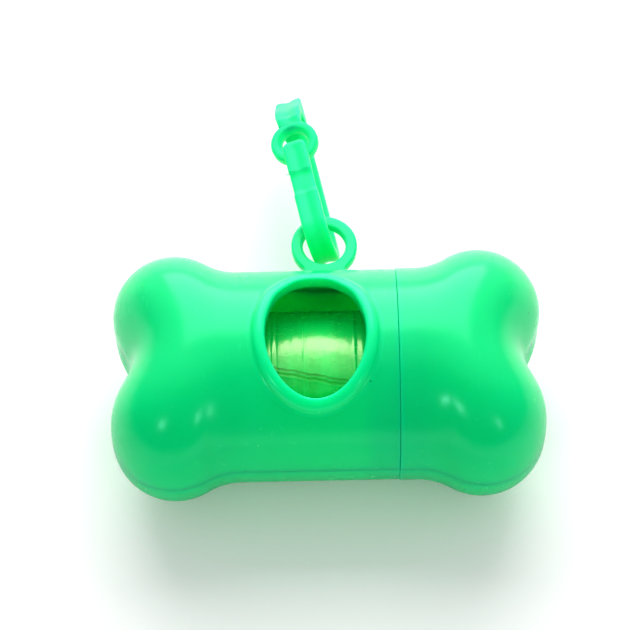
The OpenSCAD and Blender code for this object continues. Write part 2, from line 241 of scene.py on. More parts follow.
GROUPS = {
    "bone": DispenserBone, "window": DispenserWindow, "eyelet": DispenserEyelet, "roll": DispenserRoll,
    "clip": DispenserClip, "look": DispenserLook, "stage": DispenserStage,
}


def settings(context, *names):
    """Groups of settings as plain values: millimetres, radians, and colours with full alpha."""
    found = []
    for name in names:
        group = getattr(context.scene, "dispenser_" + name)
        values = {}
        for key in GROUPS[name].__annotations__:
            value = getattr(group, key)
            kind = group.bl_rna.properties[key].subtype
            if kind == "DISTANCE":
                value = round(value / MM, 6)
            elif kind == "COLOR":
                value = (*value, 1.0)
            values[key] = value
        found.append(SimpleNamespace(**values))
    return found


# Mesh building

# Edges over this angle stay sharp. Points this close are merged, and faces this thin go.
SHARP = math.radians(38)
MERGE = 0.0005
THIN = 0.0002


class Surface:
    """Collects the points and faces of one mesh, in millimetres, with a painted light mark at each point.
    """

    def __init__(self):
        self.points, self.marks, self.quads, self.triangles = [], [], [], []
        self.count = 0

    def add(self, points, mark=0.0):
        """Adds an array of points and returns their numbers, in the array's own shape."""
        shape = points.shape[:-1]
        index = np.arange(self.count, self.count + math.prod(shape)).reshape(shape)
        self.points.append(points.reshape(-1, 3).astype(float))
        self.marks.append(np.broadcast_to(np.asarray(mark, float), shape).reshape(-1))
        self.count += index.size
        return index

    def sheet(self, index, skip=None):
        """Joins a grid of point numbers with quads, without the cells that skip marks."""
        quads = np.stack([index[:-1, :-1], index[:-1, 1:], index[1:, 1:], index[1:, :-1]], -1)
        self.quads.append(quads.reshape(-1, 4) if skip is None else quads[~skip])

    def tube(self, index):
        """The same, with the last column joined to the first."""
        self.sheet(np.concatenate([index, index[:, :1]], 1))

    def torus(self, index):
        """The same, with rows and columns both joined round."""
        self.tube(np.concatenate([index, index[:1]]))

    def fan(self, row, centre):
        """Joins an open row of point numbers to one point."""
        self.triangles.append(np.stack([row[:-1], row[1:], np.full(len(row) - 1, centre)], -1))

    def cap(self, ring):
        """Closes a ring of points with a fan round its middle."""
        middle = self.add(np.concatenate(self.points)[ring].mean(0)[None])
        self.fan(np.append(ring, ring[0]), middle[0])

    def rod(self, index):
        """Joins rings of points to a tube that is closed at both ends."""
        self.tube(index)
        self.cap(index[0])
        self.cap(index[-1])

    def mesh(self, name):
        """Writes the mesh in metres, with doubles merged and all faces turned outwards."""
        quads = np.concatenate(self.quads) if self.quads else np.zeros((0, 4), int)
        triangles = np.concatenate(self.triangles) if self.triangles else np.zeros((0, 3), int)
        starts = np.concatenate([np.arange(len(quads)) * 4, quads.size + np.arange(len(triangles)) * 3])
        data = bpy.data.meshes.new(name)
        data.vertices.add(self.count)
        data.vertices.foreach_set("co", np.concatenate(self.points).ravel() * MM)
        data.loops.add(quads.size + triangles.size)
        data.loops.foreach_set("vertex_index", np.concatenate([quads.ravel(), triangles.ravel()]))
        data.polygons.add(len(starts))
        data.polygons.foreach_set("loop_start", starts)
        # The painted light marks go to the mesh as its edge attribute.
        edge = data.attributes.new("edge", "FLOAT", "POINT")
        edge.data.foreach_set("value", np.concatenate(self.marks))
        data.update(calc_edges=True)
        work = bmesh.new()
        work.from_mesh(data)
        bmesh.ops.remove_doubles(work, verts=work.verts, dist=MERGE * MM)
        bmesh.ops.dissolve_degenerate(work, edges=work.edges, dist=THIN * MM)
        bmesh.ops.recalc_face_normals(work, faces=work.faces)
        work.to_mesh(data)
        work.free()
        data.polygons.foreach_set("use_smooth", np.ones(len(data.polygons), bool))
        data.set_sharp_from_angle(angle=SHARP)
        data.update()
        return data


def piece(name, surface, material, body, node):
    """Makes an object of a surface, which rides on a body and stands for a CAD node."""
    obj = bpy.data.objects.new(name, surface.mesh(name))
    bpy.context.scene.collection.objects.link(obj)
    obj.data.materials.append(material)
    if body:
        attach(obj, body)
    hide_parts(node)
    return obj


def arc(centre, radius, start, end, count):
    """Points on an arc, in count steps between two angles."""
    a = np.linspace(start, end, count + 1)
    return np.stack([centre[0] + radius * np.cos(a), centre[1] + radius * np.sin(a)], -1)


def walk(path, shares):
    """Points at given shares of a path's length."""
    along = np.concatenate([[0], np.cumsum(np.linalg.norm(np.diff(path, axis=0), axis=1))])
    return np.stack([np.interp(shares, along / along[-1], column) for column in path.T], -1)


def lines(start, *stops):
    """Numbers from start on: each stop (value, count) is reached in count even steps."""
    values = [np.array([float(start)])]
    for stop, count in stops:
        values.append(np.linspace(values[-1][-1], stop, count + 1)[1:])
    return np.concatenate(values)


def ease(t):
    """Smooth step from 0 to 1."""
    t = np.clip(t, 0, 1)
    return t * t * (3 - 2 * t)


def bell(distance, width):
    """A bell curve that is 1 at no distance."""
    return np.exp(-((distance / width) ** 2))


def soft_max(a, b, blend):
    """The larger of two values, rounded over where they cross."""
    return (a + b + np.sqrt((a - b) ** 2 + blend**2)) / 2


# Case

# Rows run along the bone and columns round it. The finer block round the window has its own.
RIM_ANGLES = (0.006, 0.015, 0.0275, 0.045)
FRONT_COLUMNS, BLOCK_COLUMNS, CLIP_COLUMNS = 18, 76, 26
EDGE_ROWS, LEAD_ROWS, BLOCK_ROWS, CAP_ROWS, END_ROWS = 4, 2, 56, 8, 110
ARC_STEPS, LOBE_STEPS, SIDE_STEPS = 60, 200, 400
# Strength of the painted light, a lighter colour, at the parting line and at the seam, and the width of the
# latter.
PARTING_PAINTED_LIGHT, SEAM_PAINTED_LIGHT, SEAM_BAND = 0.25, 0.8, 0.5


class BoneShape:
    """The bone's skin, for an angle a from straight up.

    Seen from above, an end's outline is a flare arc, a lobe arc and a notch arc, each tangent to the
    next. Seen from the side, it is |x|^p + |z|^p = 1 past the shoulder. The skin is
    side + (outline - side) * (1 - |cos a|^(2 fullness)), both at the same share of their length.
    """

    def __init__(self, bone):
        self.bone = bone
        self.r = bone.tube_d / 2
        depth = bone.notch_x - bone.lobe_x
        self.notch_r = (depth**2 + bone.lobe_y**2 - bone.lobe_r**2) / (2 * (bone.lobe_r - depth))
        self.notch_c = bone.notch_x + self.notch_r
        self.flare_y = self.r + bone.flare_r
        rise = self.flare_y - bone.lobe_y
        self.flare_x = bone.lobe_x - math.sqrt((bone.lobe_r + bone.flare_r) ** 2 - rise**2)
        self.axis_z = math.sqrt(self.r**2 - (bone.belly_w / 2) ** 2)

    def outline(self, inset):
        """The lobe's outline from above, from the tube to the notch."""
        b = self.bone
        turn = math.atan2(b.lobe_y - self.flare_y, b.lobe_x - self.flare_x)
        flare = arc((self.flare_x, self.flare_y), b.flare_r + inset, -QUARTER, turn, ARC_STEPS)
        end = math.atan2(-b.lobe_y, self.notch_c - b.lobe_x)
        lobe = arc((b.lobe_x, b.lobe_y), b.lobe_r - inset, turn + math.pi, end, LOBE_STEPS)
        start = math.atan2(b.lobe_y, b.lobe_x - self.notch_c)
        notch = arc((self.notch_c, 0), self.notch_r + inset, start, math.pi, ARC_STEPS)
        return np.concatenate([flare, lobe[1:], notch[1:]])

    def side(self, inset):
        """The outline from the side, from the tube to the pole."""
        b = self.bone
        a = np.linspace(0, QUARTER, SIDE_STEPS)
        power = 2 / b.shoulder_power
        x = b.shoulder_x + (b.notch_x - inset - b.shoulder_x) * np.sin(a) ** power
        z = (self.r - inset) * np.abs(np.cos(a)) ** power
        return np.concatenate([[[self.flare_x, self.r - inset]], np.stack([x, z], -1)])

    def end(self, shares, angles, inset):
        """Points of one end, at shares of the way to the pole."""
        top = walk(self.outline(inset), shares)[:, None]
        side = walk(self.side(inset), shares)[:, None]
        full = (1 - np.abs(np.cos(angles)) ** (2 * self.bone.lobe_fullness))[None, :, None]
        return self.round(*np.moveaxis(side + (top - side) * full, -1, 0), angles)

    @staticmethod
    def round(x, radius, angles):
        """Points at x, at a radius from the tube's axis and an angle from straight up."""
        x, radius, angles = np.broadcast_arrays(x, radius, angles)
        return np.stack([x, radius * np.sin(angles), radius * np.cos(angles)], -1)


class WindowShape:
    """The window's outline, two half ellipses seen from above, and the bead round it."""

    def __init__(self, window, shape):
        self.w, self.shape = window, shape
        self.x = -window.centre_x
        self.up = self.unroll(window.top) - self.unroll(window.wide_y)
        self.down = self.unroll(window.wide_y) + self.unroll(window.bottom)

    def unroll(self, y):
        """Distance along the tube's skin from straight up to a place seen from above at y."""
        return self.shape.r * np.arcsin(np.asarray(y) / self.shape.r)

    def turn(self, x, angles):
        """The outline's own parameter for places round it on the skin."""
        dy = self.shape.r * angles - self.unroll(self.w.wide_y)
        return np.arctan2(dy / np.where(dy > 0, self.up, self.down), (x - self.x) / (self.w.width / 2))

    def outline(self, turn):
        """The cut: a smooth egg, with faint knife facets along its upper side."""
        w = self.w
        reach = np.where(np.sin(turn) > 0, w.top - w.wide_y, w.bottom + w.wide_y)
        facets = np.abs(np.sin(5.5 * turn + 0.9)) - 0.64
        slip = w.knife * np.clip(np.sin(turn) * 1.5 - 0.1, 0, 1) * facets
        return self.x + (w.width / 2 + slip) * np.cos(turn), w.wide_y + (reach + slip) * np.sin(turn)

    def bead(self):
        """Profile of the bead: distance out from the cut, and height over the skin.

        It is a half ellipse with its inner edge trimmed off, then a hollow curve to the skin.
        """
        w = self.w
        half = w.lip_w / 2
        a = np.linspace(math.acos((w.lip_trim - half) / half), math.radians(20), 20)
        dome = np.stack([half * np.cos(a), w.lip_h * np.sin(a)], -1)
        t = np.linspace(0, 1, 7)[1:, None]
        start, knee, end = dome[-1], np.array([half + 0.04, 0.02]), np.array([half + w.foot, 0])
        foot = (1 - t) ** 2 * start + 2 * t * (1 - t) * knee + t**2 * end
        return np.concatenate([dome, foot]) + [half - w.lip_trim, 0]


def shell_columns(shape, window):
    """Angles from straight up: fine at the rims, even between, with stops at the window's block."""
    r = shape.r
    edge = (window.lip_w + window.margin) / r
    low = -math.asin(window.bottom / r) - edge
    high = math.asin(window.top / r) + edge
    rim = [QUARTER - value for value in RIM_ANGLES]
    left = [(-value, 1) for value in rim]
    middle = [(low, FRONT_COLUMNS), (high, BLOCK_COLUMNS), (rim[-1], CLIP_COLUMNS)]
    right = [(value, 1) for value in (*rim[-2::-1], QUARTER)]
    return lines(-QUARTER, *left, *middle, *right)


def shell_surface(shape, window, swell, mouth, opened, beaded):
    """Half of one end of the bone, pole at +X, as one closed surface with its wall and socket."""
    b = shape.bone
    s = Surface()
    a = shell_columns(shape, window)
    edge_x = mouth + b.mouth_edge
    reach = window.width / 2 + window.lip_w + window.margin
    block0 = max(-window.centre_x - reach, edge_x + 0.6)
    block1 = min(-window.centre_x + reach, shape.flare_x - 0.4)
    block = [(block0, LEAD_ROWS), (block1, BLOCK_ROWS)] if mouth < 0 else []
    x = lines(mouth, (edge_x, EDGE_ROWS), *block, (shape.flare_x, LEAD_ROWS if block else CAP_ROWS))
    first = EDGE_ROWS + LEAD_ROWS
    column0 = len(RIM_ANGLES) + FRONT_COLUMNS
    hole = (slice(first, first + BLOCK_ROWS), slice(column0, column0 + BLOCK_COLUMNS))
    corner = np.clip(1 - (x - mouth) / b.mouth_edge, 0, 1)
    outer_r = shape.r + swell - b.mouth_edge * (1 - np.sqrt(1 - corner**2))
    ends = np.linspace(0, 1, END_ROWS + 1)[1:-1]
    tube = shape.round(x[:, None], outer_r[:, None], a[None])
    outer = np.concatenate([tube, shape.end(ends, a, -swell)])
    from_rim = shape.r * (QUARTER - np.abs(a))
    away = outer * [0, 1, 1]
    away /= np.linalg.norm(away, axis=-1, keepdims=True)
    outer = outer - away * (b.parting_depth * bell(from_rim, b.parting_width))[None, :, None]
    inner = shell_lining(shape, x, a, ends, mouth, first, beaded)
    # Painted light: lighter colour along the parting line and the seam, and over the whole lining inside.
    marks = np.zeros(outer.shape[:2]) + PARTING_PAINTED_LIGHT * bell(from_rim, 2 * b.parting_width)[None]
    marks[: len(x)] += SEAM_PAINTED_LIGHT * bell(x - mouth, SEAM_BAND)[:, None]
    outside, inside = s.add(outer, np.clip(marks, 0, 1)), s.add(inner, 1.0)
    poles = s.add(np.array([[b.notch_x + swell, 0.0, 0.0], [b.notch_x - b.wall, 0.0, 0.0]]))
    skip = np.zeros((outer.shape[0] - 1, outer.shape[1] - 1), bool)
    if opened:
        skip[hole] = True
    for grid, pole in ((outside, poles[0]), (inside, poles[1])):
        s.sheet(grid, skip)
        s.fan(grid[-1], pole)
    s.sheet(np.stack([outside[0], inside[0]]))
    for column in (0, -1):
        rim_out = np.append(outside[:, column], poles[0])
        rim_in = np.append(inside[:, column], poles[1])
        s.sheet(np.stack([rim_out, rim_in]))
    if opened:
        opening(s, WindowShape(window, shape), outside, inside, hole, x, a, inner)
    return s


def shell_lining(shape, x, a, ends, mouth, first, beaded):
    """The inner surface: the sleeve's socket with its step, then the bore and the hollow lobes."""
    b = shape.bone
    bore = shape.r - b.wall
    step = mouth + b.socket_depth
    if beaded:
        groove0, groove1 = (b.seam_x + b.bead_x + way * b.bead_w / 2 for way in (-1, 1))
        groove = [mouth, groove0, groove0, groove1, groove1]
        px = np.concatenate([groove, lines(groove1, (x[-1], len(x) - len(groove)))[1:]])
        pr = np.full(len(x), b.socket_r)
        pr[2:4] += b.bead_depth
    else:
        px = np.concatenate([lines(mouth, (step, first - 1)), np.linspace(step, x[-1], len(x) - first)])
        pr = np.where(np.arange(len(x)) < first, b.socket_r, bore)
    tube = shape.round(px[:, None], pr[:, None], a[None])
    end = shape.end(ends, a, b.wall)
    radius = np.linalg.norm(end[..., 1:], axis=-1)
    if beaded:
        widen = np.where(end[..., 0] < step, np.maximum(b.socket_r / radius, 1), 1)
        end[..., 1:] *= widen[..., None]
    return np.concatenate([tube, end])


def block_border(grid, hole):
    """The values round a block of a grid, in one turn from its first corner."""
    r0, r1, c0, c1 = hole[0].start, hole[0].stop, hole[1].start, hole[1].stop
    return np.concatenate([grid[r0:r1, c0], grid[r1, c0:c1], grid[r1:r0:-1, c1], grid[r0, c1:c0:-1]])


def opening(s, win, outside, inside, hole, x, a, inner):
    """Fills the block round the window with the bead, the cut through the wall and the lining."""
    w, shape = win.w, win.shape
    r, bore = shape.r, shape.r - shape.bone.wall
    skin = np.zeros(outside.shape + (2,))
    skin[: len(x), :, 0] = x[:, None]
    skin[..., 1] = a[None]
    border = block_border(skin, hole)
    lining_x = block_border(inner[..., 0], hole)
    turn = win.turn(border[:, 0], border[:, 1])
    cut_x, cut_y = win.outline(turn)
    flat = np.stack([cut_x, win.unroll(cut_y)], -1)
    run = np.roll(flat, -1, 0) - np.roll(flat, 1, 0)
    out = np.stack([run[:, 1], -run[:, 0]], -1) / np.linalg.norm(run, axis=1, keepdims=True)
    out *= np.sign((out * (flat - flat.mean(0))).sum(1).mean())
    bead = win.bead()
    foot = flat + out * bead[-1, 0]
    start = np.stack([cut_x, r * np.arcsin(cut_y / (r + bead[0, 1]))], -1)
    part = (bead[:, 0] / bead[-1, 0])[:, None, None]
    spot = start + (foot - start) * part
    rows = shape.round(spot[..., 0], (r + bead[:, 1])[:, None], spot[..., 1] / r)
    keep = bead[:, 0] > w.edge * 1.1
    ahead = rows[keep][0] - rows[0]
    ahead /= np.linalg.norm(ahead, axis=1, keepdims=True)
    bend = np.linspace(0, QUARTER, 6)[:, None, None]
    rise = np.array([0, 0, 1.0])
    rounding = rows[0] + ahead * w.edge * (1 - np.cos(bend)) - rise * w.edge * (1 - np.sin(bend))
    spread = np.linspace(0, 1, 13)[1:-1, None] ** 1.4
    mid_x = foot[:, 0] + (border[:, 0] - foot[:, 0]) * spread
    mid_a = foot[:, 1] / r + (border[:, 1] - foot[:, 1] / r) * spread
    around = shape.round(mid_x, np.array(r), mid_a)
    low_a = np.arcsin(cut_y / bore)
    low = shape.round(cut_x, np.array(bore), low_a)
    depth = np.linspace(0, 1, 7)[1:-1, None, None]
    wall = low + (rounding[0] - low) * depth
    spread = np.linspace(0, 1, 9)[1:-1, None]
    under_x = cut_x + (lining_x - cut_x) * spread
    under = shape.round(under_x, np.array(bore), low_a + (border[:, 1] - low_a) * spread)
    # Painted light: lighter colour on the cut through the wall and the bead's rounded edge, fading over the
    # bead.
    marks = np.concatenate([
        np.zeros(len(under)), [0.0], np.linspace(0.2, 0.9, len(wall)), np.full(len(rounding), 1.0),
        1 - 0.6 * part[keep][:, 0, 0], np.zeros(len(around)),
    ])
    grid = np.concatenate([under[::-1], low[None], wall, rounding, rows[keep], around])
    index = s.add(grid, marks[:, None])
    edges = [block_border(n, hole)[None] for n in (inside, outside)]
    s.tube(np.concatenate([edges[0], index, edges[1]]))


def place_shell(s, shape, front, cap):
    """Moves a shell from its own frame to its place, and flattens the belly."""
    for points in s.points:
        points *= [1 if cap else -1, 1 if front else -1, 1 if front else -1]
        points[:, 2] = np.maximum(points[:, 2] + shape.axis_z, 0)


# The eyelet's columns are finer up to this angle beside its root. The root ends at this cosine.
ROOT_ANGLE = 0.75
ROOT_COSINE = 0.3


def half_eyelet(s, shape, eye, front):
    """Half of the eyelet: a band between the hole and an outline round ring and root.

    The outline's distance from the ring's centre, at an angle t from straight to the tube, is the
    larger of the ring's radius and the root's side or foot along that ray, rounded where they meet.
    """
    up = 1 if front else -1
    half, ri, ro, e = eye.thickness / 2, eye.inner_d / 2, eye.outer_d / 2, eye.edge
    foot = eye.reach + shape.bone.wall / 2
    top = ri + 1
    top_w = math.sqrt(ro**2 - top**2)
    lean = (eye.root_w / 2 - top_w) / (foot - top)
    t = lines(-ROOT_ANGLE, (ROOT_ANGLE, 90), (TAU - ROOT_ANGLE, 110))[:-1]
    bound = np.maximum(np.abs(np.sin(t)) - lean * np.cos(t), 0.02)
    foot_ray = foot / np.maximum(np.cos(t), ROOT_COSINE)
    ray = np.minimum((top_w - lean * top) / bound, foot_ray)
    outline = np.where(np.cos(t) > ROOT_COSINE, soft_max(ro, ray, eye.fillet), ro)
    outline = np.minimum(outline, foot_ray)[:, None]
    turn = np.linspace(0, QUARTER, 6)
    near = np.stack([e * (1 - np.cos(turn)), half - e + e * np.sin(turn)], -1)
    near_r = np.concatenate([[0.05, 0], near[:, 0], [e + 0.1]])
    near_z = np.concatenate([[0, 0.05], near[:, 1], [half]])
    hole = np.broadcast_to(ri + near_r, (len(t), len(near_r)))
    radius = np.concatenate([hole, outline - near_r[::-1]], 1)
    z = np.concatenate([near_z, near_z[::-1]]) * up + shape.axis_z
    y = shape.r + eye.reach - radius * np.cos(t)[:, None]
    points = np.stack(np.broadcast_arrays(radius * np.sin(t)[:, None], y, z), -1)
    # Painted light: lighter colour round the edges of the hole and of the outline.
    mark = np.linspace(1, 0.3, len(near_r))
    s.torus(s.add(points, np.concatenate([mark, mark[::-1]])))


# Roll of bags

# Creases round the roll: place along the bone, height and width.
CREASES = (
    (-10.6, 0.12, 0.18), (-9.9, -0.08, 0.25), (-11.6, 0.05, 0.3), (-4.75, 0.13, 0.14),
    (-4.3, -0.06, 0.2), (5.3, 0.11, 0.16), (5.9, -0.07, 0.3), (6.9, 0.05, 0.3),
    (14.0, 0.08, 0.2), (-19.0, 0.08, 0.2),
)
WRINKLES = 30
# How far the wound roll stays inside its ends, the outermost bag and the core, and the film's
# thickness and lift as shown.
ROLL_INSET, ROLL_GAP, CORE_GAP = 0.12, 0.16, 0.04
BAG_INSET, FILM_SHOWN, FILM_RISE = 0.06, 0.05, 0.09


def film_relief(roll, x, turn):
    """Height of the film: straight creases round the roll, and soft slanted wrinkles."""
    rng = np.random.default_rng(7)
    height = np.zeros(np.broadcast(x, turn).shape)
    for centre, depth, width in CREASES:
        sway = centre + 0.12 * np.sin(turn * 2.3 + centre) + 0.04 * np.sin(turn * 11 + 2 * centre)
        height += depth * bell(x - sway, width)
    for _ in range(WRINKLES):
        kx, kt = rng.normal(0, 0.5), rng.normal(0, 6.0)
        phase, weight = rng.uniform(0, TAU), rng.uniform(0.3, 1)
        ridge = 1 - np.abs(np.sin(kx * x + kt * turn + phase))
        height += roll.wrinkle * 0.35 * weight * ridge**2
    return height


def on_roll(roll, shape, x, radius, turn):
    """Points of the roll at an angle from straight up towards the front."""
    height = radius * np.cos(turn) + shape.axis_z - roll.drop
    return np.stack(np.broadcast_arrays(x, -radius * np.sin(turn), height), -1)


def roll_surface(roll, shape):
    """The wound roll: a creased skin, and ends where the edges of the turns lie a little unevenly."""
    s = Surface()
    half = roll.width / 2 - ROLL_INSET
    skin_r = roll.diameter / 2 - roll.film_t - ROLL_GAP
    core = roll.core_d / 2 + CORE_GAP
    turn = np.linspace(0, TAU, 241)[:-1][None]
    x = np.linspace(-half, half, 170)[:, None]
    fade = np.clip((half - np.abs(x)) / 1.5, 0, 1)
    skin = skin_r + np.clip(film_relief(roll, x, turn), -0.06, 0.1) * fade
    side = s.add(on_roll(roll, shape, x, skin, turn))
    depth = np.linspace(1, 0, 70)[:, None]
    r = core + (skin_r - core) * depth
    layer = 0.07 * np.sin((r * 1.9 + turn / TAU) * TAU) + 0.16 * np.sin(r * 1.7 + 1)
    layer = layer + 0.1 * np.sin(r * 5 + 2 * turn)
    inset = np.abs(layer) * ease(depth * (1 - depth) * 9)
    ends = [s.add(on_roll(roll, shape, (half - inset) * way, r, turn)[1:]) for way in (-1, 1)]
    s.torus(np.concatenate([ends[0][::-1], side, ends[1]]))
    return s


def bag_surface(roll, shape):
    """The outermost bag: one turn of thin film, whose slanted free edge lifts a little."""
    s = Surface()
    half = roll.width / 2 - BAG_INSET
    x = np.linspace(-half, half, 330)[:, None]
    part = lines(0, (0.02, 10), (0.1, 24), (1, 230))[None]
    start = roll.free_edge + roll.edge_slant * (x + 4)
    start = start + 0.006 * np.sin(x * 1.3 + 0.4) + 0.003 * np.sin(x * 3.1)
    turn = start + part * roll.bag_turn
    lift = roll.edge_lift * (bell(part, 0.004) + bell(part - 0.009, 0.003))
    base = roll.diameter / 2 - roll.film_t + FILM_RISE
    top = base + np.clip(film_relief(roll, x, turn) + lift, -0.02, 0.15)
    # Painted shade mark: the film is painted darker along its free edge.
    edge = bell(part, 0.006) + np.zeros_like(x)
    layers = [s.add(on_roll(roll, shape, x, r, turn), edge) for r in (top, top - FILM_SHOWN)]
    for layer in layers:
        s.sheet(layer)
    loops = [np.concatenate([n[0, :-1], n[:-1, -1], n[-1, :0:-1], n[:0:-1, 0]]) for n in layers]
    s.tube(np.stack(loops))
    return s


# Clip

# Rounding of the bars' inner edges and of the hood's corners, and the width of the painted light along the
# bars' sides.
INNER_EDGE, HOOD_EDGE, PAINTED_LIGHT_BAND = 0.35, 1.2, 0.9
# How much deeper the valley is on the crown, and how far along the bars it changes.
CROWN_VALLEY, VALLEY_RUN = 1.2, 2
# Rounding of the nose ring's back and front edges, and of its hole's back edge.
RING_BACK, RING_FRONT, RING_HOLE = 0.35, 0.6, 0.3


class ClipShape:
    """The clip's outlines in its own frame (across, along, depth), and its place in the model."""

    def __init__(self, clip, shape, eye):
        c = self.c = clip
        self.front = c.front_gap + c.bar_t
        self.spine = -c.spine_gap - c.bar_t
        self.loop = (-c.loop_back, (self.front + self.spine) / 2)
        self.loop_r = (self.front - self.spine) / 2
        self.nose = self.front - c.nose_back
        self.crown_r = (self.nose - c.bar_t + c.spine_gap) / 2
        self.crown = (c.crown_l, self.nose - c.bar_t - self.crown_r)
        self.top = c.crown_l + c.crown_reach
        self.nose_end = c.ring_l + c.ring_id / 2 + c.nose_lap
        self.flex_end = c.flex_start + c.flex_l
        turn = Matrix.Rotation(c.lean, 3, "Z") @ Matrix.Rotation(c.rise, 3, "X")
        self.turn = np.array(turn @ Matrix.Rotation(-c.roll, 3, "Y"))
        self.pivot = np.array([c.x, shape.r + eye.reach + c.y, shape.axis_z])

    def place(self, points):
        """From the clip's own frame to the model's."""
        return points @ self.turn.T + self.pivot

    def bent_bar(self):
        """Inner and outer edge of the bent bar: front bar, loop, spine, crown with its hood, nose."""
        c, n, e, k = self.c, self.nose, self.c.top_edge, self.c.slope_edge
        slope = c.crown_l + c.slope_reach
        end = n - c.nose_dip
        hood = [(c.crown_l, self.spine), (self.top - e, self.spine), (self.top, self.spine + e / 2),
                (self.top, self.spine + e), (self.top - e, self.spine + 2 * e), (slope + 2 * k, n - k),
                (slope, n), (c.crown_l, n)]
        parts = [
            ([(c.flex_start, c.front_gap), (-c.loop_back, c.front_gap)],
             [(c.flex_start, self.front), (-c.loop_back, self.front)], 12),
            (arc(self.loop, self.loop_r - c.bar_t, QUARTER, 3 * QUARTER, 48),
             arc(self.loop, self.loop_r, QUARTER, 3 * QUARTER, 48), 48),
            ([(-c.loop_back, -c.spine_gap), (c.crown_l, -c.spine_gap)],
             [(-c.loop_back, self.spine), (c.crown_l, self.spine)], 40),
            (arc(self.crown, self.crown_r, -QUARTER, QUARTER, 60), rounded(np.array(hood), HOOD_EDGE), 72),
            ([(c.crown_l, n - c.bar_t), (self.nose_end, end - c.bar_t)],
             [(c.crown_l, n), (self.nose_end, end)], 10),
        ]
        inner, outer = [], []
        for low, high, count in parts:
            shares = np.linspace(0, 1, count + 1)[:-1]
            inner.append(walk(np.array(low, float), shares))
            outer.append(walk(np.array(high, float), shares))
        inner.append(np.array([[self.nose_end, end - c.bar_t]]))
        outer.append(np.array([[self.nose_end, end]]))
        return np.concatenate(inner), np.concatenate(outer)


def rounded(corners, reach):
    """A path through corners, each replaced by a curve that starts at most reach before it."""
    path = [corners[:1]]
    t = np.linspace(0, 1, 9)[:, None]
    for before, corner, after in zip(corners[:-2], corners[1:-1], corners[2:]):
        cut = min(reach, np.linalg.norm(corner - before) / 2, np.linalg.norm(after - corner) / 2)
        a = corner + (before - corner) / np.linalg.norm(before - corner) * cut
        b = corner + (after - corner) / np.linalg.norm(after - corner) * cut
        path.append((1 - t) ** 2 * a + 2 * t * (1 - t) * corner + t**2 * b)
    return np.concatenate(path + [corners[-1:]])


def bar_section(width, thickness, edge, valley, valley_w):
    """Outline of a bar: across, and height over its inner face, with a valley along its outer face."""
    half = width / 2
    e = min(edge, thickness / 2)
    low = min(INNER_EDGE, thickness / 3)
    across = np.linspace(-(half - e), half - e, 21)
    return np.concatenate([
        np.stack([across, thickness - valley * bell(across, valley_w)], -1),
        arc((half - e, thickness - e), e, QUARTER, 0, 6)[1:],
        arc((half - low, low), low, 0, -QUARTER, 4),
        arc((low - half, low), low, -QUARTER, -math.pi, 4),
        arc((e - half, thickness - e), e, math.pi, QUARTER, 6)[:-1],
    ])


def bar(s, clip_shape, inner, outer, widths, valleys):
    """A bar whose inner and outer faces follow two paths along the clip and through its depth."""
    c = clip_shape.c
    rings, marks = [], []
    for low, high, width, valley in zip(inner, outer, widths, valleys):
        thickness = np.linalg.norm(high - low)
        section = bar_section(width, thickness, c.edge, valley, c.valley_w)
        rings.append(np.concatenate([section[:, :1], low + (high - low) / thickness * section[:, 1:]], 1))
        # Painted light: the bars' colour is lighter towards their sides.
        marks.append(ease(1 - (width / 2 - np.abs(section[:, 0])) / PAINTED_LIGHT_BAND))
    s.rod(s.add(clip_shape.place(np.array(rings)), np.array(marks)))


def revolve(s, clip_shape, profile, marks):
    """Turns a closed profile (radius, depth) round the nose ring's centre line."""
    turn = np.linspace(0, TAU, 97)[:-1][:, None]
    along = clip_shape.c.ring_l - profile[:, 0] * np.cos(turn)
    points = np.stack(np.broadcast_arrays(profile[:, 0] * np.sin(turn), along, profile[:, 1]), -1)
    s.torus(s.add(clip_shape.place(points), marks))


def frame_surface(clip_shape):
    """The clip's bent bar and the ring on its nose."""
    c = clip_shape.c
    s = Surface()
    inner, outer = clip_shape.bent_bar()
    along = outer[:, 0]
    in_front = (outer[:, 1] > 0) & (along > c.ring_l)
    fade = np.where(in_front, ease((along - c.ring_l - c.ring_od / 2 + 0.6) / 1.5), 1)
    in_crown = ease((along - c.crown_l) / VALLEY_RUN)
    widths = c.width + (c.crown_w - c.width) * in_crown
    bar(s, clip_shape, inner, outer, widths, c.valley_d * (1 + CROWN_VALLEY * in_crown) * fade)
    ro, ri, h, e = c.ring_od / 2, c.ring_id / 2, c.ring_t, RING_FRONT
    bevel = [(ro - e - 0.1, h), (ri + c.ring_bevel, h), (ri + 0.1, h - 0.75), (ri, h - 1.1)]
    profile = np.concatenate([
        arc((ro - RING_BACK, RING_BACK), RING_BACK, -QUARTER, 0, 4),
        arc((ro - e, h - e), e, 0, QUARTER, 6),
        rounded(np.array(bevel), 0.45),
        arc((ri + RING_HOLE, RING_HOLE), RING_HOLE, math.pi, 3 * QUARTER, 4),
    ])
    # Painted light: lighter colour at the ring's outer and inner edges.
    marks = np.clip(bell(profile[:, 0] - ro, 0.5) + bell(profile[:, 0] - ri, 0.6), 0, 1)
    revolve(s, clip_shape, profile + [0, clip_shape.nose - c.ring_t], marks)
    return s


